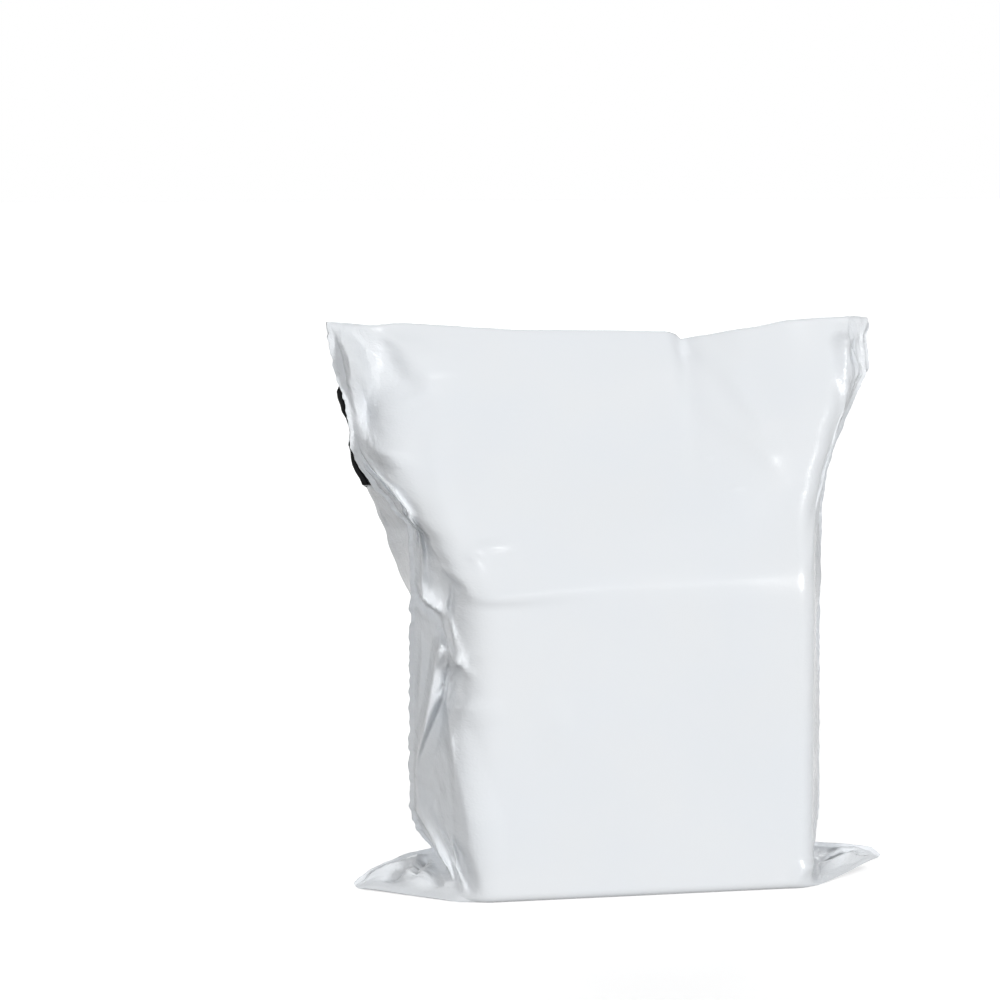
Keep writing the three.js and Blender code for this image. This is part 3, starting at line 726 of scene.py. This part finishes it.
def make_floor():
    """Wide pale floor that casts no light back on the film."""
    shape = bmesh.new()
    bmesh.ops.create_grid(shape, x_segments=1, y_segments=1, size=20)
    floor_mesh = bpy.data.meshes.new("floor")
    shape.to_mesh(floor_mesh)
    shape.free()
    floor = bpy.data.objects.new("floor", floor_mesh)
    bpy.context.scene.collection.objects.link(floor)
    material = bpy.data.materials.new("floor")
    shader, _ = principled(material)
    shader.inputs["Base Color"].default_value = (0.85, 0.85, 0.85, 1)
    shader.inputs["Roughness"].default_value = 0.9
    shader.inputs["Specular IOR Level"].default_value = 0
    shader.inputs["Emission Color"].default_value = (1, 1, 1, 1)
    shader.inputs["Emission Strength"].default_value = 0.55
    floor.visible_diffuse = False
    floor_mesh.materials.append(material)


make_floor()


def aim_at(lamp, place, aim):
    lamp.location = place
    lamp.rotation_euler = (Vector(aim) - Vector(place)).to_track_quat("-Z", "Y").to_euler()
    bpy.context.scene.collection.objects.link(lamp)


def broad_light(name, place, strength, width, glossy=True, diffuse=True):
    """Even light from far away, as from a large diffuser. It can leave out gloss or plain light."""
    light = bpy.data.lights.new(name, "SUN")
    light.energy = strength
    light.angle = math.radians(width)
    lamp = bpy.data.objects.new(name, light)
    lamp.visible_glossy = glossy
    lamp.visible_diffuse = diffuse
    aim_at(lamp, place, (0, 0, 0))


def strip_light(name, place, aim, size, power):
    light = bpy.data.lights.new(name, "AREA")
    light.shape = "RECTANGLE"
    light.size, light.size_y = size
    light.energy = power
    aim_at(bpy.data.objects.new(name, light), place, aim)


# The key light is split, so that the film's gloss can be weaker than its plain light
KEY_PLACE = (0.50, -0.84, 0.22)
broad_light("key", KEY_PLACE, 1.98, 14, glossy=False)
broad_light("glint", KEY_PLACE, 1.3, 12, diffuse=False)
broad_light("left_fill", (-0.52, -0.76, 0.35), 1.55, 14, glossy=False)
broad_light("back_light", (0.1, 0.85, 0.5), 1.6, 40)
strip_light("left_strip", (-2.0, 0.95, 0.5), (0, 0, 0.15), (0.15, 0.8), 4.5)

# The camera sees a white backdrop, and the film is lit by a much weaker one
LIT_STRENGTH, SEEN_STRENGTH = 0.125, 1.0
world = bpy.data.worlds.new("studio")
bpy.context.scene.world = world
world.use_nodes = True
nodes, links = world.node_tree.nodes, world.node_tree.links
background = nodes["Background"]
background.inputs["Color"].default_value = (1, 1, 1, 1)
background.inputs["Strength"].default_value = LIT_STRENGTH
backdrop = nodes.new("ShaderNodeBackground")
backdrop.inputs["Color"].default_value = (1, 1, 1, 1)
backdrop.inputs["Strength"].default_value = SEEN_STRENGTH
seen = nodes.new("ShaderNodeLightPath")
mixed = nodes.new("ShaderNodeMixShader")
links.new(seen.outputs["Is Camera Ray"], mixed.inputs["Fac"])
links.new(background.outputs["Background"], mixed.inputs[1])
links.new(backdrop.outputs["Background"], mixed.inputs[2])
links.new(mixed.outputs["Shader"], nodes["World Output"].inputs["Surface"])

bpy.context.scene.view_settings.view_transform = "Standard"


# The photograph's view: turn to the left and rise in degrees, distance and height of its target
# in metres, the target's place in the picture as left and up shifts, and the lens in millimetres
VIEW_TURN, VIEW_RISE = 14.3, 7.5
VIEW_AWAY, VIEW_TALL = 1.6, 0.130
VIEW_LEFT, VIEW_UP = 0.0568, 0.0468
SENSOR_WIDE, LENS_LONG = 36, 124.3


def make_camera():
    turn, rise = math.radians(VIEW_TURN), math.radians(VIEW_RISE)
    target = Vector((PACK_MIDDLE / METRE, 0, VIEW_TALL))
    level = math.cos(rise)
    back = Vector((-math.sin(turn) * level, -math.cos(turn) * level, math.sin(rise)))
    right = Vector((math.cos(turn), -math.sin(turn), 0))
    upward = right.cross(-back)
    place = target + back * VIEW_AWAY
    aim = target - right * VIEW_LEFT + upward * VIEW_UP
    data = bpy.data.cameras.new("camera")
    data.sensor_width = SENSOR_WIDE
    data.lens = LENS_LONG
    camera = bpy.data.objects.new("camera", data)
    camera.location = place
    camera.rotation_euler = (aim - place).to_track_quat("-Z", "Y").to_euler()
    bpy.context.scene.collection.objects.link(camera)
    bpy.context.scene.camera = camera


make_camera()
